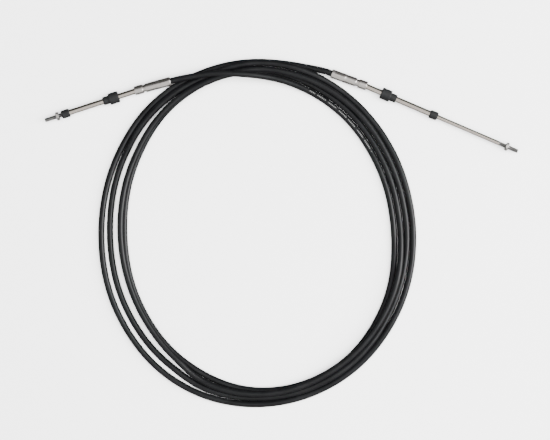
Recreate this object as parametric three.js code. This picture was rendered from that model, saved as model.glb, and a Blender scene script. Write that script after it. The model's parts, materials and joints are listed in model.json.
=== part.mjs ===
// Boat control cable: a push-pull cable in a black jacketed conduit, lying in a loose oval coil.
// Each end has a crimped hub, a swivelling guide tube with a rubber boot and a rod seal,
// and a sliding rod with a threaded tip and a jam nut.
// Millimetres, +Z up, floor at z = 0, origin under the middle of the whole cable.
import * as THREE from "three";

// Conduit
const CONDUIT_DIAMETER = 7.4;
const CONDUIT_SIDES = 10;
const STRAND_GAP = 0.1;
const CONDUIT_INSERT = 22;

// Clearances
const FIT_GAP = 0.3;
const PASSAGE_DIAMETER = 3.2;

// Hub, from its conduit end outwards
const CRIMP_LENGTH = 30.7;
const CRIMP_WIDE_LENGTH = 17.6;
const CRIMP_WIDE_DIAMETER = 10.6;
const CRIMP_DIAMETER = 10.1;
const GROOVE_LENGTH = 3.2;
const GROOVE_DIAMETER = 7.9;
const COLLAR_LENGTH = 9.9;
const COLLAR_DIAMETER = 10.4;
const HUB_BEVEL = 0.6;

// Ball joint inside the hub's collar
const BALL_DIAMETER = 8.2;
const BALL_FROM_COLLAR_END = 4.8;
const LIP_DIAMETER = 7.7;
const MOUTH_DIAMETER = 8.7;

// Swivel tube and the rubber seal on its outer end
const TUBE_DIAMETER = 6.4;
const SEAL_LENGTH = 9.8;
const SEAL_DIAMETER = 9.9;
const SEAL_CAP = 3;
const SEAL_ROUND = 1.4;

// Boot, a stepped rubber sleeve on the swivel tube
const BOOT_WIDE_LENGTH = 11.6;
const BOOT_WIDE_DIAMETER = 13.6;
const BOOT_NARROW_LENGTH = 7.5;
const BOOT_NARROW_DIAMETER = 9.5;
const BOOT_ROUND = 0.7;

// Rod and jam nut: how far the rod travels, how far it stands out when it is in, how much of it
// the tube still holds when it is out, and what is left behind it when it is in
const ROD_DIAMETER = 4.76;
const ROD_TRAVEL = 82.5;
const ROD_OUT_LEAST = 20.6;
const ROD_HELD = 10.5;
const ROD_STOP_GAP = 2.8;
const ROD_CHAMFER = 0.7;
const NUT_ACROSS_FLATS = 8.7;
const NUT_THICKNESS = 3.2;

// Heights: the wide part of each boot lies on the floor and carries the tube's axis
const AXIS_HEIGHT = BOOT_WIDE_DIAMETER / 2;

// Where each end lies: the middle of its ball joint, the compass of its hub and tube, the rise of
// its hub towards the coil, how much of the travel its rod is out, how far its boot is from the
// hub, and how far its nut's middle is from the rod's tip
const ENDS = {
  left: {
    ball: [-168.2, 169.07],
    hub: 194.8,
    tube: 198.05,
    rise: 5,
    shareOut: 0,
    bootFromHub: 20.4,
    nutFromTip: 15.6,
  },
  right: {
    ball: [95.98, 175.07],
    hub: -20,
    tube: -23.25,
    rise: 0,
    shareOut: 1,
    bootFromHub: 19,
    nutFromTip: 13.8,
  },
};

// Route of the coil, by hand: degrees clockwise from the top and counted on through the turns,
// distance from the coil's middle, and height above the floor lane in strand widths
const COIL_MIDDLE = [-28.83, 0.12];
const COIL_STEP = 10;
const LEAD_IN = [
  [-22, 198.8, 1.3], [-18, 196.3, 1.6], [-14, 193.3, 1.92], [-9, 189.4, 2.1],
  [-4, 186.6, 1.9], [2, 184.4, 1.4], [10, 182.0, 0.8], [18, 179.2, 0.3], [26, 176.2, 0],
];
const FIRST_TURN = [
  [34, 173.1, 0], [60, 163.8, 0], [90, 161.8, 0], [120, 172.9, 0], [150, 184.6, 0],
  [180, 186.0, 0], [210, 174.3, 0], [240, 161.7, 0], [270, 156.9, 0], [300, 165.7, 0],
  [330, 182.9, 0], [345, 189.2, 0],
];
const SECOND_TURN = [
  [360, 191.4, 0], [390, 182.4, 0], [420, 171.4, 0], [444, 168.9, 0], [455, 170.4, 0.5],
  [465, 173.2, 0.95], [480, 177.2, 0.98], [510, 184.4, 1.05], [540, 189.6, 0.94],
  [550, 188.9, 0.7], [560, 186.0, 0.54], [565, 182.8, 0.7], [570, 178.2, 0.91],
  [580, 172.2, 0.94], [600, 163.9, 0.98], [630, 160.7, 0.9], [660, 168.5, 0.95],
  [690, 183.4, 1.05], [705, 188.2, 1.1],
];
const THIRD_TURN = [
  [720, 192.8, 1.04], [736, 191.4, 0.88], [760, 185.3, 0.54], [780, 178.9, 0.14],
  [797, 176.5, 0], [810, 177.1, 0], [840, 182.7, 0], [855, 187.4, 0.42], [870, 191.3, 0.68],
  [885, 193.9, 0.34], [900, 195.0, 0], [910, 194.9, 0], [920, 193.4, 0], [925, 191.2, 0],
  [930, 188.6, 0], [940, 185.0, 0], [960, 178.4, 0], [990, 173.9, 0], [1020, 180.9, 0],
  [1036, 187.2, 0.42], [1050, 191.4, 0.52], [1062, 194.2, 0.62], [1068, 196.6, 0.81],
  [1074, 198.8, 1],
];
const FOURTH_TURN = [
  [1080, 200.4, 1.04], [1090, 200.0, 1], [1098, 198.5, 0.8], [1104, 197.0, 0.42],
  [1110, 195.2, 0.1], [1140, 186.5, 0], [1157, 184.1, 0], [1170, 184.6, 0], [1200, 190.5, 0],
  [1230, 198.6, 0], [1260, 202.5, 0], [1280, 201.7, 0], [1290, 199.6, 0], [1320, 189.8, 0],
  [1350, 184.1, 0], [1380, 188.7, 0], [1400, 195.6, 0], [1420, 200.0, 0], [1435, 202.0, 0],
  [1450, 202.9, 0], [1456, 204.2, 0.1], [1460, 205.8, 0.28],
];
const COIL = [...LEAD_IN, ...FIRST_TURN, ...SECOND_TURN, ...THIRD_TURN, ...FOURTH_TURN];
const WHOLE_TURNS = 4;
const STRAIGHT_RUN = 7;

const HUB_LENGTH = CRIMP_LENGTH + GROOVE_LENGTH + COLLAR_LENGTH;
const BALL_FROM_CONDUIT_END = HUB_LENGTH - BALL_FROM_COLLAR_END;
const SEAL_FACE_AT = ROD_STOP_GAP + ROD_TRAVEL + ROD_HELD;
const ROD_LENGTH = ROD_OUT_LEAST + ROD_TRAVEL + ROD_HELD;
const FULL_CIRCLE = 360;
const HEXAGON_SIDES = 6;
const ROUND_SEGMENTS = 24;
const ARC_STEPS = 4;

const steel = new THREE.MeshStandardMaterial({ color: 0xc4bdb4, roughness: 0.28, metalness: 1 });
const nickel = new THREE.MeshStandardMaterial({ color: 0xbab7b0, roughness: 0.4, metalness: 1 });
const zinc = new THREE.MeshStandardMaterial({ color: 0xd8d6d0, roughness: 0.3, metalness: 1 });
const rubber = new THREE.MeshStandardMaterial({ color: 0x2e3133, roughness: 0.75, metalness: 0 });
const jacket = new THREE.MeshStandardMaterial({ color: 0x26272a, roughness: 0.45, metalness: 0 });

// A solid of revolution about its own Y axis from [radius, distance along] pairs that close.
function turned(profile) {
  const points = profile.map(([radius, along]) => new THREE.Vector2(radius, along));
  points.push(points[0].clone());
  return new THREE.LatheGeometry(points, ROUND_SEGMENTS);
}

// A quarter of a round edge: from one angle to another about a centre, in a lathe profile.
function arc(radiusAt, alongAt, size, from, to) {
  const made = [];
  for (let i = 0; i <= ARC_STEPS; i += 1) {
    const a = THREE.MathUtils.degToRad(from + ((to - from) * i) / ARC_STEPS);
    made.push([radiusAt + size * Math.cos(a), alongAt + size * Math.sin(a)]);
  }
  return made;
}

// Hub: crimp sleeve, clamp groove and collar, bored for the conduit and the core, with a socket.
// Its Y = 0 is at the ball's middle, and Y grows outwards.
function hubGeometry() {
  const start = -BALL_FROM_CONDUIT_END;
  const step = start + CRIMP_WIDE_LENGTH;
  const grooveStart = start + CRIMP_LENGTH;
  const grooveEnd = grooveStart + GROOVE_LENGTH;
  const end = BALL_FROM_COLLAR_END;
  const wide = CRIMP_WIDE_DIAMETER / 2;
  const crimp = CRIMP_DIAMETER / 2;
  const groove = GROOVE_DIAMETER / 2;
  const collar = COLLAR_DIAMETER / 2;
  const bore = CONDUIT_DIAMETER / 2 + FIT_GAP;
  const passage = PASSAGE_DIAMETER / 2;
  const socket = BALL_DIAMETER / 2 + FIT_GAP;
  const lip = LIP_DIAMETER / 2;
  const toBack = 270 + THREE.MathUtils.radToDeg(Math.asin(passage / socket));
  const toLip = 360 + THREE.MathUtils.radToDeg(Math.acos(lip / socket));
  const socketArc = [...arc(0, 0, socket, toBack, 360), ...arc(0, 0, socket, 360, toLip).slice(1)];
  return turned([
    [bore, start],
    [wide - HUB_BEVEL / 2, start],
    [wide, start + HUB_BEVEL / 2],
    [wide, step - HUB_BEVEL],
    [crimp, step],
    [crimp, grooveStart - HUB_BEVEL],
    [crimp - HUB_BEVEL, grooveStart],
    [groove, grooveStart],
    [groove, grooveEnd],
    [collar - HUB_BEVEL, grooveEnd],
    [collar, grooveEnd + HUB_BEVEL],
    [collar, end - HUB_BEVEL],
    [collar - HUB_BEVEL, end],
    [MOUTH_DIAMETER / 2, end],
    ...socketArc.reverse(),
    [passage, start + CONDUIT_INSERT + FIT_GAP],
    [bore, start + CONDUIT_INSERT + FIT_GAP],
  ]);
}

// Swivel tube: a hollow ball with the guide tube that runs out to the seal's cap.
function swivelTubeGeometry() {
  const outside = TUBE_DIAMETER / 2;
  const bore = ROD_DIAMETER / 2 + FIT_GAP;
  const ball = BALL_DIAMETER / 2;
  const toBack = 270 + THREE.MathUtils.radToDeg(Math.asin(bore / ball));
  const toNeck = 360 + THREE.MathUtils.radToDeg(Math.acos(outside / ball));
  const end = SEAL_FACE_AT - SEAL_CAP - FIT_GAP;
  return turned([
    ...arc(0, 0, ball, toBack, 360),
    ...arc(0, 0, ball, 360, toNeck).slice(1),
    [outside, end],
    [bore, end],
  ]);
}

// Boot: wide towards the hub and narrow towards the rod, slid over the tube.
function bootGeometry({ bootFromHub }) {
  const start = BALL_FROM_COLLAR_END + bootFromHub;
  const step = start + BOOT_WIDE_LENGTH;
  const end = step + BOOT_NARROW_LENGTH;
  const bore = TUBE_DIAMETER / 2 + FIT_GAP;
  const wide = BOOT_WIDE_DIAMETER / 2 - BOOT_ROUND;
  const narrow = BOOT_NARROW_DIAMETER / 2 - BOOT_ROUND;
  return turned([
    [bore, start],
    ...arc(wide, start + BOOT_ROUND, BOOT_ROUND, 270, 360),
    ...arc(wide, step - BOOT_ROUND, BOOT_ROUND, 0, 90),
    [BOOT_NARROW_DIAMETER / 2, step],
    ...arc(narrow, end - BOOT_ROUND, BOOT_ROUND, 0, 90),
    [bore, end],
  ]);
}

// Rod seal: a rounded cap over the tube's end, bored for the rod.
function sealGeometry() {
  const start = SEAL_FACE_AT - SEAL_LENGTH;
  const seat = SEAL_FACE_AT - SEAL_CAP;
  const tubeBore = TUBE_DIAMETER / 2 + FIT_GAP;
  const rodBore = ROD_DIAMETER / 2 + FIT_GAP;
  const round = SEAL_DIAMETER / 2 - SEAL_ROUND;
  return turned([
    [tubeBore, start],
    ...arc(round, start + SEAL_ROUND, SEAL_ROUND, 270, 360),
    ...arc(round, SEAL_FACE_AT - SEAL_ROUND, SEAL_ROUND, 0, 90),
    [rodBore, SEAL_FACE_AT],
    [rodBore, seat],
    [tubeBore, seat],
  ]);
}

// Where the rod's tip is, outwards from the ball's middle.
function tipAt({ shareOut }) {
  return SEAL_FACE_AT + ROD_OUT_LEAST + ROD_TRAVEL * shareOut;
}

// Rod: its tip stands out beyond the seal and the rest is inside the tube.
function rodGeometry(end) {
  const tip = tipAt(end);
  const start = tip - ROD_LENGTH;
  const radius = ROD_DIAMETER / 2;
  const points = [
    [0, start],
    [radius - ROD_CHAMFER, start],
    [radius, start + ROD_CHAMFER],
    [radius, tip - ROD_CHAMFER],
    [radius - ROD_CHAMFER, tip],
    [0, tip],
  ].map(([r, along]) => new THREE.Vector2(r, along));
  return new THREE.LatheGeometry(points, ROUND_SEGMENTS);
}

// An equal-sided outline with its corners at a given radius.
function polygon(sides, radius) {
  const corners = [];
  for (let i = 0; i < sides; i += 1) {
    const a = (i * 2 * Math.PI) / sides;
    corners.push(new THREE.Vector2(radius * Math.cos(a), radius * Math.sin(a)));
  }
  return new THREE.Shape(corners);
}

// Jam nut: a thin hexagon on the rod's threaded tip.
function nutGeometry(end) {
  const corner = NUT_ACROSS_FLATS / 2 / Math.cos(Math.PI / HEXAGON_SIDES);
  const shape = polygon(HEXAGON_SIDES, corner);
  const hole = new THREE.Path();
  hole.absarc(0, 0, ROD_DIAMETER / 2 + FIT_GAP, 0, 2 * Math.PI, true);
  shape.holes.push(hole);
  const nut = new THREE.ExtrudeGeometry(shape, {
    depth: NUT_THICKNESS,
    bevelEnabled: false,
    curveSegments: ROUND_SEGMENTS / 2,
  });
  nut.rotateX(-Math.PI / 2);
  nut.translate(0, tipAt(end) - end.nutFromTip - NUT_THICKNESS / 2, 0);
  return nut;
}

// A group at the ball's middle whose Y axis points outwards: compass in degrees
// anticlockwise from +X, fall in degrees below the level.
function aimed([x, y], compass, fall) {
  const heading = THREE.MathUtils.degToRad(compass);
  const drop = THREE.MathUtils.degToRad(fall);
  const along = new THREE.Vector3(
    Math.cos(drop) * Math.cos(heading),
    Math.cos(drop) * Math.sin(heading),
    -Math.sin(drop),
  );
  const side = new THREE.Vector3().crossVectors(along, new THREE.Vector3(0, 0, 1)).normalize();
  const up = new THREE.Vector3().crossVectors(side, along);
  const group = new THREE.Group();
  group.quaternion.setFromRotationMatrix(new THREE.Matrix4().makeBasis(side, along, up));
  group.position.set(x, y, AXIS_HEIGHT);
  group.updateMatrixWorld(true);
  return group;
}

function named(name, geometry, material) {
  const mesh = new THREE.Mesh(geometry, material);
  mesh.name = name;
  return mesh;
}

// One end of the cable: the hub, and the sleeve that swivels in it.
function cableEnd(name, end) {
  const hub = aimed(end.ball, end.hub, end.rise);
  hub.add(named(`${name}_hub`, hubGeometry(), nickel));
  const sleeve = aimed(end.ball, end.tube, 0);
  sleeve.add(named(`${name}_swivel_tube`, swivelTubeGeometry(), steel));
  sleeve.add(named(`${name}_boot`, bootGeometry(end), rubber));
  sleeve.add(named(`${name}_rod_seal`, sealGeometry(), rubber));
  sleeve.add(named(`${name}_rod`, rodGeometry(end), steel));
  sleeve.add(named(`${name}_jam_nut`, nutGeometry(end), zinc));
  return { hub, sleeve };
}

// Points on the conduit's axis near a hub, given as distances out of the hub's conduit end.
function hubPoints(hub, distances) {
  return distances.map((outside) =>
    hub.localToWorld(new THREE.Vector3(0, -BALL_FROM_CONDUIT_END - outside, 0)),
  );
}

// A point as the route's own numbers: degrees, distance from the coil's middle, height.
function stationOf(point, turns) {
  const x = point.x - COIL_MIDDLE[0];
  const y = point.y - COIL_MIDDLE[1];
  const angle = THREE.MathUtils.radToDeg(Math.atan2(x, y)) + FULL_CIRCLE * turns;
  return [angle, Math.hypot(x, y), point.z];
}

// Smooth value of one column of the stations at an angle, with slopes that weigh both sides.
function smoothAt(stations, column, angle) {
  const last = stations.length - 2;
  const found = stations.findIndex((s) => s[0] > angle) - 1;
  const i = found < 0 ? last : Math.min(found, last);
  const slope = (k) => (stations[k + 1][column] - stations[k][column]) / width(k);
  const width = (k) => stations[k + 1][0] - stations[k][0];
  const tangent = (k) => {
    if (k === 0) return slope(0);
    if (k === stations.length - 1) return slope(k - 1);
    return (slope(k - 1) * width(k) + slope(k) * width(k - 1)) / (width(k - 1) + width(k));
  };
  const t = (angle - stations[i][0]) / width(i);
  const from = stations[i][column] * (1 + 2 * t) * (1 - t) ** 2;
  const to = stations[i + 1][column] * t * t * (3 - 2 * t);
  const leave = tangent(i) * t * (1 - t) ** 2;
  const arrive = tangent(i + 1) * t * t * (1 - t);
  return from + to + width(i) * (leave - arrive);
}

// The conduit's axis: straight in each hub, and between them the coil, a point every few degrees.
function conduitPoints(leftHub, rightHub) {
  const floorLane = CONDUIT_DIAMETER / 2;
  const pitch = CONDUIT_DIAMETER + STRAND_GAP;
  const straight = [0, STRAIGHT_RUN];
  const leftRun = hubPoints(leftHub, straight);
  const rightRun = hubPoints(rightHub, straight).reverse();
  const stations = [
    ...leftRun.map((p) => stationOf(p, 0)),
    ...COIL.map(([angle, radius, level]) => [angle, radius, floorLane + level * pitch]),
    ...rightRun.map((p) => stationOf(p, WHOLE_TURNS)),
  ];
  const coil = [];
  const first = Math.ceil(COIL[0][0] / COIL_STEP) * COIL_STEP;
  for (let angle = first; angle < COIL[COIL.length - 1][0]; angle += COIL_STEP) {
    const radius = smoothAt(stations, 1, angle);
    const a = THREE.MathUtils.degToRad(angle);
    const height = Math.max(floorLane, smoothAt(stations, 2, angle));
    const x = COIL_MIDDLE[0] + radius * Math.sin(a);
    const y = COIL_MIDDLE[1] + radius * Math.cos(a);
    coil.push(new THREE.Vector3(x, y, height));
  }
  const leftEnd = hubPoints(leftHub, [-CONDUIT_INSERT]);
  const rightEnd = hubPoints(rightHub, [-CONDUIT_INSERT]);
  return [...leftEnd, ...leftRun, ...coil, ...rightRun, ...rightEnd];
}

// A path through given points, one section of the conduit at each.
class Route extends THREE.Curve {
  constructor(points) {
    super();
    this.points = points;
  }

  getPoint(t, target = new THREE.Vector3()) {
    const place = Math.min(Math.max(t, 0), 1) * (this.points.length - 1);
    const i = Math.min(Math.floor(place), this.points.length - 2);
    return target.lerpVectors(this.points[i], this.points[i + 1], place - i);
  }

  getUtoTmapping(u) {
    return u;
  }
}

function conduitGeometry(points) {
  return new THREE.ExtrudeGeometry(polygon(CONDUIT_SIDES, CONDUIT_DIAMETER / 2), {
    steps: points.length - 1,
    extrudePath: new Route(points),
    bevelEnabled: false,
  });
}

const group = new THREE.Group();
const left = cableEnd("left", ENDS.left);
const right = cableEnd("right", ENDS.right);
const route = conduitPoints(left.hub, right.hub);
group.add(named("conduit", conduitGeometry(route), jacket));
group.add(left.hub, left.sleeve, right.hub, right.sleeve);

export default group;
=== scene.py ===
import json
import math

import bpy
import numpy as np
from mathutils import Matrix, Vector


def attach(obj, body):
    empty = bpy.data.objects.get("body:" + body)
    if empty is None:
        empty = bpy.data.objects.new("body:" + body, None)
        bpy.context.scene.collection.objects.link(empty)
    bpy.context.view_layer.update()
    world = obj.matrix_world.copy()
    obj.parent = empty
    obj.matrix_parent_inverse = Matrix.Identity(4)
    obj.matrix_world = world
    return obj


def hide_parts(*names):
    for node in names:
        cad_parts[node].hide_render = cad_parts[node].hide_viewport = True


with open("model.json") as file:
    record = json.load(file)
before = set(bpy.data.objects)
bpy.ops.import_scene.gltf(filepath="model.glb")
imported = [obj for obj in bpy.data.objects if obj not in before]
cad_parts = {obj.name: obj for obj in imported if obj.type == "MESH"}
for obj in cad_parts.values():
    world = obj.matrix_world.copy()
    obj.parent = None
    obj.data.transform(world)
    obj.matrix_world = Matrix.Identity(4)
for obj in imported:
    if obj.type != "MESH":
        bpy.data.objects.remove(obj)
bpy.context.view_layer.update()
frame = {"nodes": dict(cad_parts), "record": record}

# Lengths are millimetres and angles degrees, unless a comment says otherwise.
MM = 0.001
TURN = 2 * math.pi
UP = Vector((0, 0, 1))
SIDES = ("left", "right")

# Photo frame: straight down on the cable
PHOTO_WIDTH = 550
PHOTO_HEIGHT = 440
MM_PER_PIXEL = 1.18
COIL_PIXEL = (257, 233)
LENS = 100
SENSOR = 36

# Route of the conduit, as in the part's source: degrees, millimetres from the coil's middle,
# height above the floor lane in strand widths
CONDUIT_DIAMETER = 7.4
STRAND_GAP = 0.1
COIL_MIDDLE = (-28.83, 0.12)
LEAD_IN = [
    (-22, 198.8, 1.3), (-18, 196.3, 1.6), (-14, 193.3, 1.92), (-9, 189.4, 2.1),
    (-4, 186.6, 1.9), (2, 184.4, 1.4), (10, 182.0, 0.8), (18, 179.2, 0.3), (26, 176.2, 0),
]
FIRST_TURN = [
    (34, 173.1, 0), (60, 163.8, 0), (90, 161.8, 0), (120, 172.9, 0), (150, 184.6, 0),
    (180, 186.0, 0), (210, 174.3, 0), (240, 161.7, 0), (270, 156.9, 0), (300, 165.7, 0),
    (330, 182.9, 0), (345, 189.2, 0),
]
SECOND_TURN = [
    (360, 191.4, 0), (390, 182.4, 0), (420, 171.4, 0), (444, 168.9, 0), (455, 170.4, 0.5),
    (465, 173.2, 0.95), (480, 177.2, 0.98), (510, 184.4, 1.05), (540, 189.6, 0.94),
    (550, 188.9, 0.7), (560, 186.0, 0.54), (565, 182.8, 0.7), (570, 178.2, 0.91),
    (580, 172.2, 0.94), (600, 163.9, 0.98), (630, 160.7, 0.9), (660, 168.5, 0.95),
    (690, 183.4, 1.05), (705, 188.2, 1.1),
]
THIRD_TURN = [
    (720, 192.8, 1.04), (736, 191.4, 0.88), (760, 185.3, 0.54), (780, 178.9, 0.14),
    (797, 176.5, 0), (810, 177.1, 0), (840, 182.7, 0), (855, 187.4, 0.42), (870, 191.3, 0.68),
    (885, 193.9, 0.34), (900, 195.0, 0), (910, 194.9, 0), (920, 193.4, 0), (925, 191.2, 0),
    (930, 188.6, 0), (940, 185.0, 0), (960, 178.4, 0), (990, 173.9, 0), (1020, 180.9, 0),
    (1036, 187.2, 0.42), (1050, 191.4, 0.52), (1062, 194.2, 0.62), (1068, 196.6, 0.81),
    (1074, 198.8, 1),
]
FOURTH_TURN = [
    (1080, 200.4, 1.04), (1090, 200.0, 1), (1098, 198.5, 0.8), (1104, 197.0, 0.42),
    (1110, 195.2, 0.1), (1140, 186.5, 0), (1157, 184.1, 0), (1170, 184.6, 0), (1200, 190.5, 0),
    (1230, 198.6, 0), (1260, 202.5, 0), (1280, 201.7, 0), (1290, 199.6, 0), (1320, 189.8, 0),
    (1350, 184.1, 0), (1380, 188.7, 0), (1400, 195.6, 0), (1420, 200.0, 0), (1435, 202.0, 0),
    (1450, 202.9, 0), (1456, 204.2, 0.1), (1460, 205.8, 0.28),
]
COIL = LEAD_IN + FIRST_TURN + SECOND_TURN + THIRD_TURN + FOURTH_TURN
WHOLE_TURNS = 4
STRAIGHT_RUN = 7
CONDUIT_INSERT = 22
COIL_STEP = 1.5
CONDUIT_SIDES = 28

# Ticks printed on the jacket: the stretch in metres along it, the rest in millimetres
MARKS_START = 0.19
MARKS_LENGTH = 0.105
MARKS_OFFSET = 0.6
MARK_HEIGHT = 1.3
MARK_SPACING = 2.1
MARK_SHARE = 0.5
MARK_GROUP = 15.5
MARK_GROUP_SHARE = 0.78

# Roundness of the turned pieces
ROUND_SEGMENTS = 96
SHARP_ANGLE = 35
ARC_STEPS = 6

# Hub, from its conduit end outwards: each bevel and mouth is (across, along)
CRIMP_WIDE_LENGTH = 17.6
CRIMP_LENGTH = 30.7
CRIMP_TAPER = 1.2
GROOVE_LENGTH = 3.2
GROOVE_BEVEL = 0.15
CRIMP_RADIUS = 5.05
GROOVE_RADIUS = 3.95
COLLAR_RADIUS = 5.2
BORE_RADIUS = 4.0
BORE_DEPTH = 22.3
BORE_MOUTH = (0.3, 0.4)
PASSAGE_RADIUS = 1.6
SOCKET_RADIUS = 4.4
SOCKET_STEPS = 12
LIP_RADIUS = 3.85
MOUTH_RADIUS = 4.35
HUB_ROUND = 0.5
HUB_STEP = 0.6

# Marks of the crimping dies round the hub, between the ends of its wide length
CRIMP_DIES = 6
DIE_DEPTH = 0.32
DIE_NARROWNESS = 3
DIES_RISE = (2.2, 3.4)
DIES_FALL = (3.2, 2.0)
DIES_OUTSIDE_BORE = 0.5

# Swivel tube
BALL_RADIUS = 4.1
BALL_STEPS = 20
TUBE_RADIUS = 3.2
TUBE_BORE = 2.68
TUBE_BEVEL = (0.2, 0.3)
TUBE_STEP = 4

# Boot, with the parting line of its mould on both sides
BOOT_BORE = 3.25
BOOT_WIDE_LENGTH = 11.6
BOOT_NARROW_RADIUS = 4.75
BOOT_ROUND = 0.9
BOOT_FILLET = 0.5
BOOT_FILLET_STEPS = 4
BOOT_MOUTH = (0.5, 0.4)
BOOT_LIP = 0.4
BOOT_STEP = 0.7
BOOT_SEGMENTS = 128
SEAM_HEIGHT = 0.08
SEAM_HALF_WIDTH = 0.03

# Rod seal, with the wiper's lip as (across, back from the end)
SEAL_BORE = 2.45
SEAL_CAP = 3.0
SEAL_ROUND = 1.5
SEAL_MOUTH = 0.3
SEAL_WIPER = [(1.1, 0), (0.6, 0.4), (0, 0.1)]
SEAL_STEP = 0.8

# Rod and its thread
ROD_RADIUS = 2.38
ROD_AXIS_RADIUS = 0.02
ROD_BEVEL = 0.4
ROD_RINGS = 12
ROD_CHAMFER = 0.7
ROD_TIP_BEVEL = 0.9
ROD_SEGMENTS = 48
ROD_SHARP_ANGLE = 60
THREAD_RADIUS = 2.41
THREAD_LENGTH = 23.6
THREAD_PITCH = 0.794
THREAD_DEPTH = 0.46
THREAD_CREST = 0.12
THREAD_FLANK = 0.76
THREAD_RINGS_A_TURN = 8
THREAD_RUN_OUT = 1.2

# Jam nut
NUT_BORE = 2.2
NUT_MOUTH = 0.35
NUT_FLAT_RADIUS = 4.35
NUT_FACE_SHARE = 0.97
NUT_CHAMFER = 0.55
NUT_STEP = 0.15
NUT_SEGMENTS = 144
NUT_SHARP_ANGLE = 25
HEXAGON_SIDES = 6

# Noise: spots per metre, or per millimetre (across, along) where it is stretched on the UV map
NOISE_DETAIL = 4.0
NOISE_ROUGHNESS = 0.6

# Jacket: each relief is (strength, distance in metres)
JACKET_DARK = (0.0026, 0.0027, 0.003, 1)
JACKET_LIGHT = (0.0048, 0.005, 0.0054, 1)
JACKET_TICKS = (0.11, 0.11, 0.108, 1)
JACKET_CLOUDS = 38
JACKET_CLOUD_SPAN = (0.35, 0.7)
JACKET_ROUGHNESS = (0.3, 0.42)
JACKET_SPECULAR = 0.2
JACKET_LINES = (2.4, 0.04)
JACKET_LINE_RELIEF = (0.25, 0.00012)
JACKET_DUST = 2600
JACKET_DUST_DETAIL = 2.0
JACKET_DUST_RELIEF = (0.2, 0.00004)

# Metals: grey, its warmth, roughness, lines across and along, and their depth in metres
HUB_METAL = (0.74, 0.05, 0.3, (0.05, 3.0), 0.00004)
STAINLESS = (0.74, 0.1, 0.2, (0.06, 7.0), 0.000015)
# The thread's grey is far below the rod's own steel: painted shade of the thread's grooves.
THREAD_PAINTED_SHADE_METAL = (0.27, 0.02, 0.42, (0.4, 4.0), 0.00002)
NUT_METAL = (0.75, 0.03, 0.28, (0.8, 0.8), 0.00002)
METAL_DARK_SHARE = 0.88
METAL_CLOUDS = 160
METAL_CLOUD_SPAN = (0.3, 0.7)
METAL_ROUGHNESS_SPREAD = 0.12
METAL_LINE_STRENGTH = 0.3

# Rubber
RUBBER_DARK = (0.0044, 0.0046, 0.0048, 1)
RUBBER_LIGHT = (0.0078, 0.008, 0.0083, 1)
RUBBER_CLOUDS = 220
RUBBER_CLOUD_SPAN = (0.32, 0.72)
RUBBER_ROUGHNESS = (0.55, 0.74)
RUBBER_SPECULAR = 0.25
RUBBER_GRAIN = 3200
RUBBER_GRAIN_DETAIL = 3.0
RUBBER_GRAIN_RELIEF = (0.5, 0.00008)

# Studio, in metres and watts
FLOOR_SIZE = 6.0
FLOOR_DARK = 0.9
FLOOR_LIGHT = 0.92
FLOOR_CLOUDS = 3
FLOOR_CLOUD_SPAN = (0.3, 0.7)
FLOOR_ROUGHNESS = 0.9
SIDE_LIGHT_PLACE = (1.7, 0, 1.35)
SIDE_LIGHT_SIZE = (1.2, 1.9)
SIDE_LIGHT_POWER = 130
FILL_PLACE = (0, 0, 2.4)
FILL_SIZE = (2.4, 2.4)
FILL_POWER = 250
WORLD_TINT = (1, 0.995, 0.985, 1)
WORLD_BRIGHT = 1.0
WORLD_DARK = 0.08
WORLD_BELOW = 0.3
WORLD_HORIZON = (-0.12, 0.05)
DARK_SIDE = (-0.35, 0.94, 0.0)
DARK_SIDE_EDGE = (0.1, 0.6)


# Record


def joint(name):
    return next(j for j in frame["record"]["behaviour"]["joints"] if j["name"] == name)


def mount(name):
    return next(m for m in frame["record"]["mounts"] if m["name"] == name)


def hinge(name):
    return Vector(joint(name)["pos_m"])


# Camera


def camera():
    """Straight down over the photo's middle, at the distance that gives the photo's scale."""
    middle_x = COIL_MIDDLE[0] + (PHOTO_WIDTH / 2 - COIL_PIXEL[0]) * MM_PER_PIXEL
    middle_y = COIL_MIDDLE[1] + (COIL_PIXEL[1] - PHOTO_HEIGHT / 2) * MM_PER_PIXEL
    distance = PHOTO_WIDTH * MM_PER_PIXEL * LENS / SENSOR
    data = bpy.data.cameras.new("photo_camera")
    data.lens = LENS
    data.sensor_width = SENSOR
    made = bpy.data.objects.new("photo_camera", data)
    axis_height = hinge("left_swivel").z / MM
    made.location = Vector((middle_x, middle_y, distance + axis_height)) * MM
    bpy.context.collection.objects.link(made)
    bpy.context.scene.camera = made


# Axes


def outward(side, up, angle):
    """Direction away from a line, at an angle in radians round it from straight below."""
    return up * -math.cos(angle) + side * math.sin(angle)


class Axis:
    """A line out of a ball joint's middle, with the two directions across it."""

    def __init__(self, middle, along):
        self.middle = Vector(middle)
        self.along = Vector(along).normalized()
        self.side = self.along.cross(UP).normalized()
        self.up = self.side.cross(self.along)

    def span(self, node):
        """How far a CAD node reaches along this axis, low and high, and its largest radius."""
        points = [v.co - self.middle for v in frame["nodes"][node].data.vertices]
        along = [p.dot(self.along) for p in points]
        across = [math.sqrt(max(p.length_squared - a * a, 0)) for p, a in zip(points, along)]
        return min(along) / MM, max(along) / MM, max(across) / MM

    def point(self, along, radius, angle):
        across = outward(self.side, self.up, angle)
        return self.middle + (self.along * along + across * radius) * MM


def hub_axis(side):
    return Axis(hinge(f"{side}_swivel"), -Vector(mount(f"{side}_clamp_groove")["axis"]))


def sleeve_axis(side):
    return Axis(hinge(f"{side}_swivel"), mount(f"{side}_rod_tip")["axis"])


# Meshes


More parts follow.
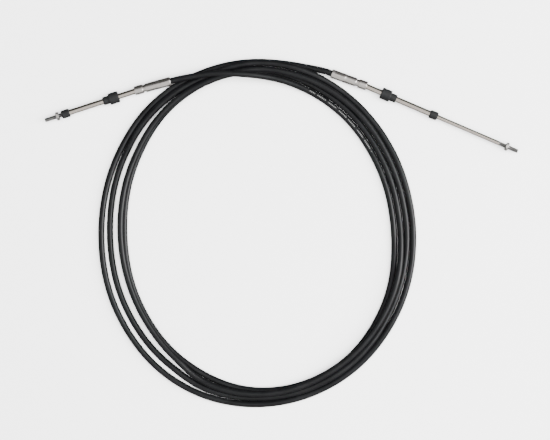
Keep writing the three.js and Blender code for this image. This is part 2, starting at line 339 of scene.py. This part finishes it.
def mesh_piece(name, vertices, faces, uvs, material, sharp=SHARP_ANGLE):
    """A smooth shaded mesh with one UV pair for each face corner."""
    data = bpy.data.meshes.new(name)
    data.from_pydata([tuple(v) for v in vertices], [], faces)
    layer = data.uv_layers.new(name="UVMap")
    layer.data.foreach_set("uv", np.array(uvs, np.float32).ravel())
    data.shade_smooth()
    data.set_sharp_from_angle(angle=math.radians(sharp))
    made = bpy.data.objects.new(name, data)
    made.data.materials.append(material)
    bpy.context.collection.objects.link(made)
    return made


def turned(name, axis, profile, material, segments=ROUND_SEGMENTS, shape=None, sharp=SHARP_ANGLE):
    """A solid of revolution from a closed profile of (radius, along).
    shape(radius, along, angle) may change the radius. U runs round and V along."""
    rings = len(profile)
    vertices = []
    for radius, along in profile:
        for k in range(segments):
            angle = TURN * k / segments
            r = shape(radius, along, angle) if shape else radius
            vertices.append(axis.point(along, r, angle))
    lengths = [0.0]
    for (r0, a0), (r1, a1) in zip(profile, profile[1:] + profile[:1]):
        lengths.append(lengths[-1] + math.hypot(r1 - r0, a1 - a0))
    widest = max(r for r, _ in profile)
    faces = []
    uvs = []
    for i in range(rings):
        j = (i + 1) % rings
        v0, v1 = lengths[i], lengths[i + 1]
        for k in range(segments):
            m = (k + 1) % segments
            faces.append((i * segments + k, i * segments + m, j * segments + m, j * segments + k))
            u0 = TURN * widest * k / segments
            u1 = TURN * widest * (k + 1) / segments
            uvs += [(u0, v0), (u1, v0), (u1, v1), (u0, v1)]
    return mesh_piece(name, vertices, faces, uvs, material, sharp)


def arc(radius, along, size, start, end, steps=ARC_STEPS):
    """Round stretch of a profile about (radius, along), from one angle to another."""
    made = []
    for i in range(steps + 1):
        a = math.radians(start + (end - start) * i / steps)
        made.append((radius + size * math.cos(a), along + size * math.sin(a)))
    return made


def finely(profile, step):
    """The profile with points added so that no stretch is longer than step."""
    made = []
    for (r0, a0), (r1, a1) in zip(profile, profile[1:] + profile[:1]):
        parts = max(1, math.ceil(math.hypot(r1 - r0, a1 - a0) / step))
        for i in range(parts):
            made.append((r0 + (r1 - r0) * i / parts, a0 + (a1 - a0) * i / parts))
    return made


def smooth_step(low, high, value):
    t = min(max((value - low) / (high - low), 0), 1)
    return t * t * (3 - 2 * t)


# Material nodes


def node_material(name):
    made = bpy.data.materials.new(name)
    made.use_nodes = True
    return made, made.node_tree, made.node_tree.nodes["Principled BSDF"]


def add(tree, kind, **values):
    """A new node, with each value set on the input of that name, or else as a property."""
    node = tree.nodes.new(kind)
    for key, value in values.items():
        if key in node.inputs:
            node.inputs[key].default_value = value
        else:
            setattr(node, key, value)
    return node


def stretched_noise(tree, spots):
    """Noise over the UV map, with its spots per millimetre across and along."""
    uv = add(tree, "ShaderNodeUVMap")
    mapping = add(tree, "ShaderNodeMapping")
    mapping.inputs["Scale"].default_value = (*spots, 1)
    noise = add(
        tree, "ShaderNodeTexNoise", Scale=1.0, Detail=NOISE_DETAIL, Roughness=NOISE_ROUGHNESS
    )
    tree.links.new(uv.outputs["UV"], mapping.inputs["Vector"])
    tree.links.new(mapping.outputs["Vector"], noise.inputs["Vector"])
    return noise


def spotted_noise(tree, scale, detail=NOISE_DETAIL):
    """Noise through the piece, with its spots per metre."""
    coordinates = add(tree, "ShaderNodeTexCoord")
    noise = add(
        tree, "ShaderNodeTexNoise", Scale=scale, Detail=detail, Roughness=NOISE_ROUGHNESS
    )
    tree.links.new(coordinates.outputs["Object"], noise.inputs["Vector"])
    return noise


def ramp(tree, source, span, dark, light):
    """Colour ramp from dark to light over a span of the source's values."""
    made = add(tree, "ShaderNodeValToRGB")
    for element, position, colour in zip(made.color_ramp.elements, span, (dark, light)):
        element.position = position
        element.color = colour
    tree.links.new(source, made.inputs["Fac"])
    return made.outputs["Color"]


def grey(value, warm=0.0):
    return (value * (1 + warm), value, value * (1 - warm), 1)


def span_of(tree, source, low, high):
    """The source's values from 0 to 1, laid out between low and high."""
    made = add(tree, "ShaderNodeMapRange")
    made.inputs["To Min"].default_value = low
    made.inputs["To Max"].default_value = high
    tree.links.new(source, made.inputs["Value"])
    return made.outputs["Result"]


def bump(tree, height, strength, distance):
    made = add(tree, "ShaderNodeBump", Strength=strength, Distance=distance)
    tree.links.new(height, made.inputs["Height"])
    return made


def math_node(tree, operation, a, b=None):
    """One step of arithmetic on numbers or on other nodes' outputs."""
    made = add(tree, "ShaderNodeMath", operation=operation)
    for i, value in enumerate((a, b)):
        if value is None:
            continue
        if isinstance(value, (int, float)):
            made.inputs[i].default_value = value
        else:
            tree.links.new(value, made.inputs[i])
    return made.outputs[0]


# Materials


def printed_marks(tree):
    """A row of plain white ticks along one stretch of the jacket, in the place of its print."""
    uv = add(tree, "ShaderNodeUVMap")
    parts = add(tree, "ShaderNodeSeparateXYZ")
    tree.links.new(uv.outputs["UV"], parts.inputs["Vector"])
    round_mm, along_mm = parts.outputs["X"], parts.outputs["Y"]
    half = TURN * CONDUIT_DIAMETER / 4
    beside = math_node(tree, "SUBTRACT", round_mm, half + MARKS_OFFSET)
    band = math_node(tree, "LESS_THAN", math_node(tree, "ABSOLUTE", beside), MARK_HEIGHT / 2)
    phase = math_node(tree, "FRACT", math_node(tree, "DIVIDE", along_mm, MARK_SPACING))
    tick = math_node(tree, "LESS_THAN", phase, MARK_SHARE)
    after = math_node(tree, "GREATER_THAN", along_mm, MARKS_START / MM)
    before = math_node(tree, "LESS_THAN", along_mm, (MARKS_START + MARKS_LENGTH) / MM)
    stretch = math_node(tree, "MULTIPLY", after, before)
    place = math_node(tree, "FRACT", math_node(tree, "DIVIDE", along_mm, MARK_GROUP))
    group = math_node(tree, "LESS_THAN", place, MARK_GROUP_SHARE)
    stretch = math_node(tree, "MULTIPLY", stretch, group)
    return math_node(tree, "MULTIPLY", math_node(tree, "MULTIPLY", band, tick), stretch)


def jacket_material():
    """Extruded black jacket: faint draw lines, cloudy gloss, fine dust."""
    made, tree, shader = node_material("jacket")
    clouds = spotted_noise(tree, JACKET_CLOUDS)
    lines = stretched_noise(tree, JACKET_LINES)
    dust = spotted_noise(tree, JACKET_DUST, JACKET_DUST_DETAIL)
    tone = ramp(tree, clouds.outputs["Fac"], JACKET_CLOUD_SPAN, JACKET_DARK, JACKET_LIGHT)
    marks = printed_marks(tree)
    mixed = add(tree, "ShaderNodeMix", data_type="RGBA")
    tree.links.new(marks, mixed.inputs["Factor"])
    tree.links.new(tone, mixed.inputs["A"])
    mixed.inputs["B"].default_value = JACKET_TICKS
    tree.links.new(mixed.outputs["Result"], shader.inputs["Base Color"])
    gloss = span_of(tree, clouds.outputs["Fac"], *JACKET_ROUGHNESS)
    tree.links.new(gloss, shader.inputs["Roughness"])
    coarse = bump(tree, lines.outputs["Fac"], *JACKET_LINE_RELIEF)
    fine = bump(tree, dust.outputs["Fac"], *JACKET_DUST_RELIEF)
    tree.links.new(coarse.outputs["Normal"], fine.inputs["Normal"])
    tree.links.new(fine.outputs["Normal"], shader.inputs["Normal"])
    shader.inputs["Specular IOR Level"].default_value = JACKET_SPECULAR
    return made


def metal_material(name, value, warm, rough, line_spots, depth):
    """Metal with a lay of fine lines: turned or drawn, with its gloss varying along them."""
    made, tree, shader = node_material(name)
    shader.inputs["Metallic"].default_value = 1.0
    lines = stretched_noise(tree, line_spots)
    clouds = spotted_noise(tree, METAL_CLOUDS)
    dark, light = grey(value * METAL_DARK_SHARE, warm), grey(value, warm)
    tone = ramp(tree, clouds.outputs["Fac"], METAL_CLOUD_SPAN, dark, light)
    tree.links.new(tone, shader.inputs["Base Color"])
    low, high = rough - METAL_ROUGHNESS_SPREAD, rough + METAL_ROUGHNESS_SPREAD
    gloss = span_of(tree, lines.outputs["Fac"], low, high)
    tree.links.new(gloss, shader.inputs["Roughness"])
    rough_face = bump(tree, lines.outputs["Fac"], METAL_LINE_STRENGTH, depth)
    tree.links.new(rough_face.outputs["Normal"], shader.inputs["Normal"])
    return made


def rubber_material():
    """Moulded black rubber: matt, slightly bloomed, with a fine spark-eroded grain."""
    made, tree, shader = node_material("boot_rubber")
    clouds = spotted_noise(tree, RUBBER_CLOUDS)
    grain = spotted_noise(tree, RUBBER_GRAIN, RUBBER_GRAIN_DETAIL)
    tone = ramp(tree, clouds.outputs["Fac"], RUBBER_CLOUD_SPAN, RUBBER_DARK, RUBBER_LIGHT)
    tree.links.new(tone, shader.inputs["Base Color"])
    gloss = span_of(tree, clouds.outputs["Fac"], *RUBBER_ROUGHNESS)
    tree.links.new(gloss, shader.inputs["Roughness"])
    face = bump(tree, grain.outputs["Fac"], *RUBBER_GRAIN_RELIEF)
    tree.links.new(face.outputs["Normal"], shader.inputs["Normal"])
    shader.inputs["Specular IOR Level"].default_value = RUBBER_SPECULAR
    return made


# Conduit


def smooth_at(stations, column, angle):
    """Smooth value of one column of the stations at an angle, with slopes that weigh both sides."""
    angles = stations[:, 0]
    values = stations[:, column]
    width = np.diff(angles)
    slope = np.diff(values) / width
    tangent = np.empty_like(values)
    tangent[1:-1] = (slope[:-1] * width[1:] + slope[1:] * width[:-1]) / (width[:-1] + width[1:])
    tangent[0], tangent[-1] = slope[0], slope[-1]
    i = int(np.clip(np.searchsorted(angles, angle, side="right") - 1, 0, len(width) - 1))
    t = (angle - angles[i]) / width[i]
    ends = values[i] * (1 + 2 * t) * (1 - t) ** 2 + values[i + 1] * t * t * (3 - 2 * t)
    return ends + width[i] * (tangent[i] * t * (1 - t) ** 2 - tangent[i + 1] * t * t * (1 - t))


def station_of(point, turns):
    """A point as the route's own numbers: degrees, distance from the coil's middle, height."""
    x = point.x - COIL_MIDDLE[0]
    y = point.y - COIL_MIDDLE[1]
    return (math.degrees(math.atan2(x, y)) + 360 * turns, math.hypot(x, y), point.z)


def conduit_route():
    """Points of the conduit's axis in metres: straight in each hub, and the coil between them."""
    runs = {}
    for side in SIDES:
        axis = hub_axis(side)
        start = axis.span(f"{side}_hub")[0]
        runs[side] = [
            (axis.middle + axis.along * (start - out) * MM) / MM
            for out in (-CONDUIT_INSERT, -CONDUIT_INSERT / 2, 0, STRAIGHT_RUN)
        ]
    lane = CONDUIT_DIAMETER / 2
    pitch = CONDUIT_DIAMETER + STRAND_GAP
    stations = [station_of(p, 0) for p in runs["left"][2:]]
    stations += [(a, r, lane + level * pitch) for a, r, level in COIL]
    stations += [station_of(p, WHOLE_TURNS) for p in reversed(runs["right"][2:])]
    stations = np.array(stations)
    first, last = stations[1, 0], stations[-2, 0]
    count = round((last - first) / COIL_STEP)
    points = [*runs["left"][:3]]
    for i in range(count + 1):
        angle = first + (last - first) * i / count
        radius = smooth_at(stations, 1, angle)
        height = max(lane, smooth_at(stations, 2, angle))
        a = math.radians(angle)
        x = COIL_MIDDLE[0] + radius * math.sin(a)
        y = COIL_MIDDLE[1] + radius * math.cos(a)
        points.append(Vector((x, y, height)))
    points += reversed(runs["right"][:3])
    return [p * MM for p in points]


def conduit(material):
    """The jacket as one tube along its route, closed at both ends."""
    points = conduit_route()
    vertices = []
    lengths = [0.0]
    for i, point in enumerate(points):
        before, after = points[max(i - 1, 0)], points[min(i + 1, len(points) - 1)]
        along = (after - before).normalized()
        side = along.cross(UP).normalized()
        up = side.cross(along)
        if i:
            lengths.append(lengths[-1] + (point - points[i - 1]).length)
        for k in range(CONDUIT_SIDES):
            across = outward(side, up, TURN * k / CONDUIT_SIDES)
            vertices.append(point + across * CONDUIT_DIAMETER / 2 * MM)
    faces = []
    uvs = []
    width = TURN * CONDUIT_DIAMETER / 2 / CONDUIT_SIDES
    for i in range(len(points) - 1):
        v0, v1 = lengths[i] / MM, lengths[i + 1] / MM
        a, b = i * CONDUIT_SIDES, (i + 1) * CONDUIT_SIDES
        for k in range(CONDUIT_SIDES):
            m = (k + 1) % CONDUIT_SIDES
            faces.append((a + k, a + m, b + m, b + k))
            u0, u1 = width * k, width * (k + 1)
            uvs += [(u0, v0), (u1, v0), (u1, v1), (u0, v1)]
    last = (len(points) - 1) * CONDUIT_SIDES
    first_cap = list(range(CONDUIT_SIDES))[::-1]
    last_cap = [last + k for k in range(CONDUIT_SIDES)]
    for cap, v in ((first_cap, 0.0), (last_cap, lengths[-1] / MM)):
        faces.append(cap)
        uvs += [(0.0, v)] * CONDUIT_SIDES
    made = mesh_piece("conduit_jacket", vertices, faces, uvs, material)
    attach(made, "cable")
    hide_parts("conduit")


# Ends


def hub(side, material):
    """Crimped hub: sleeve with die marks, clamp groove, and collar with the ball's socket."""
    axis = hub_axis(side)
    start, end, wide = axis.span(f"{side}_hub")
    step = start + CRIMP_WIDE_LENGTH
    groove_start = start + CRIMP_LENGTH
    groove_end = groove_start + GROOVE_LENGTH
    back = math.degrees(math.asin(PASSAGE_RADIUS / SOCKET_RADIUS))
    lip = math.degrees(math.acos(LIP_RADIUS / SOCKET_RADIUS))
    profile = [
        (BORE_RADIUS, start + BORE_MOUTH[1]),
        (BORE_RADIUS + BORE_MOUTH[0], start),
        *arc(wide - HUB_ROUND, start + HUB_ROUND, HUB_ROUND, 270, 360),
        (wide, step - CRIMP_TAPER),
        (CRIMP_RADIUS, step),
        *arc(CRIMP_RADIUS - HUB_ROUND, groove_start - HUB_ROUND, HUB_ROUND, 0, 90),
        (GROOVE_RADIUS + GROOVE_BEVEL, groove_start),
        (GROOVE_RADIUS, groove_start + GROOVE_BEVEL),
        (GROOVE_RADIUS, groove_end - GROOVE_BEVEL),
        (GROOVE_RADIUS + GROOVE_BEVEL, groove_end),
        *arc(COLLAR_RADIUS - HUB_ROUND, groove_end + HUB_ROUND, HUB_ROUND, 270, 360),
        *arc(COLLAR_RADIUS - HUB_ROUND, end - HUB_ROUND, HUB_ROUND, 0, 90),
        (MOUTH_RADIUS, end),
        *arc(0, 0, SOCKET_RADIUS, 360 + lip, 270 + back, SOCKET_STEPS),
        (PASSAGE_RADIUS, start + BORE_DEPTH),
        (BORE_RADIUS, start + BORE_DEPTH),
    ]

    def crimped(radius, along, angle):
        if radius < BORE_RADIUS + DIES_OUTSIDE_BORE:
            return radius
        risen = smooth_step(start + DIES_RISE[0], start + DIES_RISE[1], along)
        fallen = smooth_step(step - DIES_FALL[0], step - DIES_FALL[1], along)
        across = (angle * CRIMP_DIES / TURN) % 1
        flat = max(0.0, math.cos((across - 0.5) * TURN * 0.5)) ** DIE_NARROWNESS
        return radius - DIE_DEPTH * risen * (1 - fallen) * flat

    fine = finely(profile, HUB_STEP)
    made = turned(f"{side}_crimped_hub", axis, fine, material, shape=crimped)
    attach(made, "cable")
    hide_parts(f"{side}_hub")


def swivel_tube(side, material):
    """Guide tube with the hollow ball that sits in the hub's socket."""
    axis = sleeve_axis(side)
    end = axis.span(f"{side}_swivel_tube")[1]
    back = math.degrees(math.asin(TUBE_BORE / BALL_RADIUS))
    neck = math.degrees(math.acos(TUBE_RADIUS / BALL_RADIUS))
    profile = [
        *arc(0, 0, BALL_RADIUS, 270 + back, 360 + neck, BALL_STEPS),
        (TUBE_RADIUS, end - TUBE_BEVEL[1]),
        (TUBE_RADIUS - TUBE_BEVEL[0], end),
        (TUBE_BORE, end),
    ]
    made = turned(f"{side}_guide_tube", axis, finely(profile, TUBE_STEP), material)
    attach(made, f"{side}_sleeve")
    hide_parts(f"{side}_swivel_tube")


def boot(side, material):
    """Stepped boot: the wide length by the hub, a filleted shoulder and the narrow length."""
    axis = sleeve_axis(side)
    start, end, wide = axis.span(f"{side}_boot")
    step = start + BOOT_WIDE_LENGTH
    shoulder = BOOT_NARROW_RADIUS + BOOT_FILLET
    profile = [
        (BOOT_BORE, start + BOOT_MOUTH[1]),
        (BOOT_BORE + BOOT_MOUTH[0], start),
        *arc(wide - BOOT_ROUND, start + BOOT_ROUND, BOOT_ROUND, 270, 360),
        *arc(wide - BOOT_ROUND, step - BOOT_ROUND, BOOT_ROUND, 0, 90),
        (shoulder, step),
        *arc(shoulder, step + BOOT_FILLET, BOOT_FILLET, 270, 180, BOOT_FILLET_STEPS),
        *arc(BOOT_NARROW_RADIUS - BOOT_ROUND, end - BOOT_ROUND, BOOT_ROUND, 0, 90),
        (BOOT_BORE + BOOT_LIP, end),
        (BOOT_BORE, end - BOOT_LIP),
    ]

    def moulded(radius, along, angle):
        if radius < BOOT_NARROW_RADIUS - BOOT_ROUND:
            return radius
        near = [(angle - seam) / SEAM_HALF_WIDTH for seam in (TURN / 4, TURN * 0.75)]
        return radius + SEAM_HEIGHT * sum(math.exp(-(away**2)) for away in near)

    fine = finely(profile, BOOT_STEP)
    made = turned(f"{side}_rubber_boot", axis, fine, material, BOOT_SEGMENTS, moulded)
    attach(made, f"{side}_sleeve")
    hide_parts(f"{side}_boot")


def rod_seal(side, material):
    """Cap over the guide tube's end, with a wiper's lip round the rod."""
    axis = sleeve_axis(side)
    start, end, wide = axis.span(f"{side}_rod_seal")
    profile = [
        (BOOT_BORE, start + SEAL_MOUTH),
        (BOOT_BORE + SEAL_MOUTH, start),
        *arc(wide - SEAL_ROUND, start + SEAL_ROUND, SEAL_ROUND, 270, 360),
        *arc(wide - SEAL_ROUND, end - SEAL_ROUND, SEAL_ROUND, 0, 90),
        *[(SEAL_BORE + across, end - back) for across, back in SEAL_WIPER],
        (SEAL_BORE, end - SEAL_CAP),
        (BOOT_BORE, end - SEAL_CAP),
    ]
    made = turned(f"{side}_seal_cap", axis, finely(profile, SEAL_STEP), material)
    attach(made, f"{side}_sleeve")
    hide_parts(f"{side}_rod_seal")


def rod(side, material, thread_shade_material):
    """The rod in one mesh: smooth shank, thread that runs out into it, chamfered tip."""
    axis = sleeve_axis(side)
    start, tip, _ = axis.span(f"{side}_rod")
    thread = tip - THREAD_LENGTH
    shank = thread - start - 2 * ROD_BEVEL
    rings = round(THREAD_LENGTH / THREAD_PITCH * THREAD_RINGS_A_TURN)
    profile = [
        (ROD_AXIS_RADIUS, start),
        (ROD_RADIUS - ROD_BEVEL, start),
        (ROD_RADIUS, start + ROD_BEVEL),
    ]
    for i in range(1, ROD_RINGS + 1):
        profile.append((ROD_RADIUS, start + ROD_BEVEL + shank * i / ROD_RINGS))
    for i in range(rings + 1):
        profile.append((THREAD_RADIUS, thread + THREAD_LENGTH * i / rings))
    profile += [(THREAD_RADIUS - ROD_TIP_BEVEL, tip), (ROD_AXIS_RADIUS, tip)]

    def cut(radius, along, angle):
        if along <= thread or radius < THREAD_RADIUS:
            return radius
        phase = (along / THREAD_PITCH - angle / TURN) % 1
        flank = abs(2 * phase - 1)
        deep = THREAD_DEPTH * min(max((flank - THREAD_CREST) / THREAD_FLANK, 0), 1)
        run_out = smooth_step(thread, thread + THREAD_RUN_OUT, along)
        crest = min(THREAD_RADIUS, THREAD_RADIUS - ROD_CHAMFER + tip - along)
        return min(crest, THREAD_RADIUS - deep * run_out)

    name = f"{side}_threaded_rod"
    made = turned(name, axis, profile, material, ROD_SEGMENTS, cut, ROD_SHARP_ANGLE)
    # Faces on the thread take the darker copy of the steel: painted shade of its grooves.
    made.data.materials.append(thread_shade_material)
    for face in made.data.polygons:
        along = (face.center - axis.middle).dot(axis.along) / MM
        face.material_index = 1 if along > thread else 0
    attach(made, f"{side}_slider")
    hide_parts(f"{side}_rod")


def jam_nut(side, material):
    """Thin hexagonal nut with both faces chamfered."""
    axis = sleeve_axis(side)
    start, end, _ = axis.span(f"{side}_jam_nut")
    sector = TURN / HEXAGON_SIDES
    corner = NUT_FLAT_RADIUS / math.cos(sector / 2)
    face = NUT_FLAT_RADIUS * NUT_FACE_SHARE
    profile = [
        (NUT_BORE, start + NUT_MOUTH),
        (NUT_BORE + NUT_MOUTH, start),
        (face, start),
        (corner, start + NUT_CHAMFER),
        (corner, end - NUT_CHAMFER),
        (face, end),
        (NUT_BORE + NUT_MOUTH, end),
        (NUT_BORE, end - NUT_MOUTH),
    ]

    def six_sided(radius, along, angle):
        turn = (angle + sector / 2) % sector - sector / 2
        return min(radius, NUT_FLAT_RADIUS / math.cos(turn))

    fine = finely(profile, NUT_STEP)
    name = f"{side}_hex_nut"
    made = turned(name, axis, fine, material, NUT_SEGMENTS, six_sided, NUT_SHARP_ANGLE)
    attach(made, f"{side}_slider")
    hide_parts(f"{side}_jam_nut")


# Studio


def floor():
    made, tree, shader = node_material("studio_floor")
    shade = spotted_noise(tree, FLOOR_CLOUDS)
    dark, light = grey(FLOOR_DARK), grey(FLOOR_LIGHT)
    tone = ramp(tree, shade.outputs["Fac"], FLOOR_CLOUD_SPAN, dark, light)
    tree.links.new(tone, shader.inputs["Base Color"])
    shader.inputs["Roughness"].default_value = FLOOR_ROUGHNESS
    half = FLOOR_SIZE / 2
    corners = [(-half, -half, 0), (half, -half, 0), (half, half, 0), (-half, half, 0)]
    data = bpy.data.meshes.new("studio_floor")
    data.from_pydata(corners, [], [(0, 1, 2, 3)])
    plane = bpy.data.objects.new("studio_floor", data)
    plane.data.materials.append(made)
    plane.visible_glossy = False
    bpy.context.collection.objects.link(plane)


def softbox(name, place, size, power):
    """Area light that faces the middle of the floor."""
    data = bpy.data.lights.new(name, "AREA")
    data.shape = "RECTANGLE"
    data.size, data.size_y = size
    data.energy = power
    made = bpy.data.objects.new(name, data)
    made.location = place
    towards_middle = Vector((0, 0, 0)) - Vector(place)
    made.rotation_euler = towards_middle.to_track_quat("-Z", "Y").to_euler()
    bpy.context.collection.objects.link(made)
    return made


def surroundings():
    """A bright studio with one dark side, low behind and to the left."""
    world = bpy.data.worlds.new("studio")
    world.use_nodes = True
    tree = world.node_tree
    direction = add(tree, "ShaderNodeTexCoord")
    towards = add(tree, "ShaderNodeVectorMath", operation="DOT_PRODUCT")
    towards.inputs[1].default_value = DARK_SIDE
    tree.links.new(direction.outputs["Generated"], towards.inputs[0])
    light = add(tree, "ShaderNodeMapRange", interpolation_type="SMOOTHSTEP")
    light.inputs["From Min"].default_value = DARK_SIDE_EDGE[0]
    light.inputs["From Max"].default_value = DARK_SIDE_EDGE[1]
    light.inputs["To Min"].default_value = WORLD_BRIGHT
    light.inputs["To Max"].default_value = WORLD_DARK
    tree.links.new(towards.outputs["Value"], light.inputs["Value"])
    parts = add(tree, "ShaderNodeSeparateXYZ")
    tree.links.new(direction.outputs["Generated"], parts.inputs["Vector"])
    height = add(tree, "ShaderNodeMapRange", interpolation_type="SMOOTHSTEP")
    height.inputs["From Min"].default_value = WORLD_HORIZON[0]
    height.inputs["From Max"].default_value = WORLD_HORIZON[1]
    height.inputs["To Min"].default_value = WORLD_BELOW
    tree.links.new(parts.outputs["Z"], height.inputs["Value"])
    strength = math_node(tree, "MULTIPLY", light.outputs["Result"], height.outputs["Result"])
    background = tree.nodes["Background"]
    background.inputs["Color"].default_value = WORLD_TINT
    tree.links.new(strength, background.inputs["Strength"])
    bpy.context.scene.world = world


camera()
conduit(jacket_material())

nickel = metal_material("hub_metal", *HUB_METAL)
stainless = metal_material("stainless", *STAINLESS)
thread_shade_metal = metal_material("thread_painted_shade", *THREAD_PAINTED_SHADE_METAL)
bright = metal_material("nut_metal", *NUT_METAL)
rubber = rubber_material()
for side_name in SIDES:
    hub(side_name, nickel)
    swivel_tube(side_name, stainless)
    boot(side_name, rubber)
    rod_seal(side_name, rubber)
    rod(side_name, stainless, thread_shade_metal)
    jam_nut(side_name, bright)

floor()
surroundings()
softbox("right_softbox", SIDE_LIGHT_PLACE, SIDE_LIGHT_SIZE, SIDE_LIGHT_POWER)
fill = softbox("overhead_fill", FILL_PLACE, FILL_SIZE, FILL_POWER)
fill.visible_glossy = False
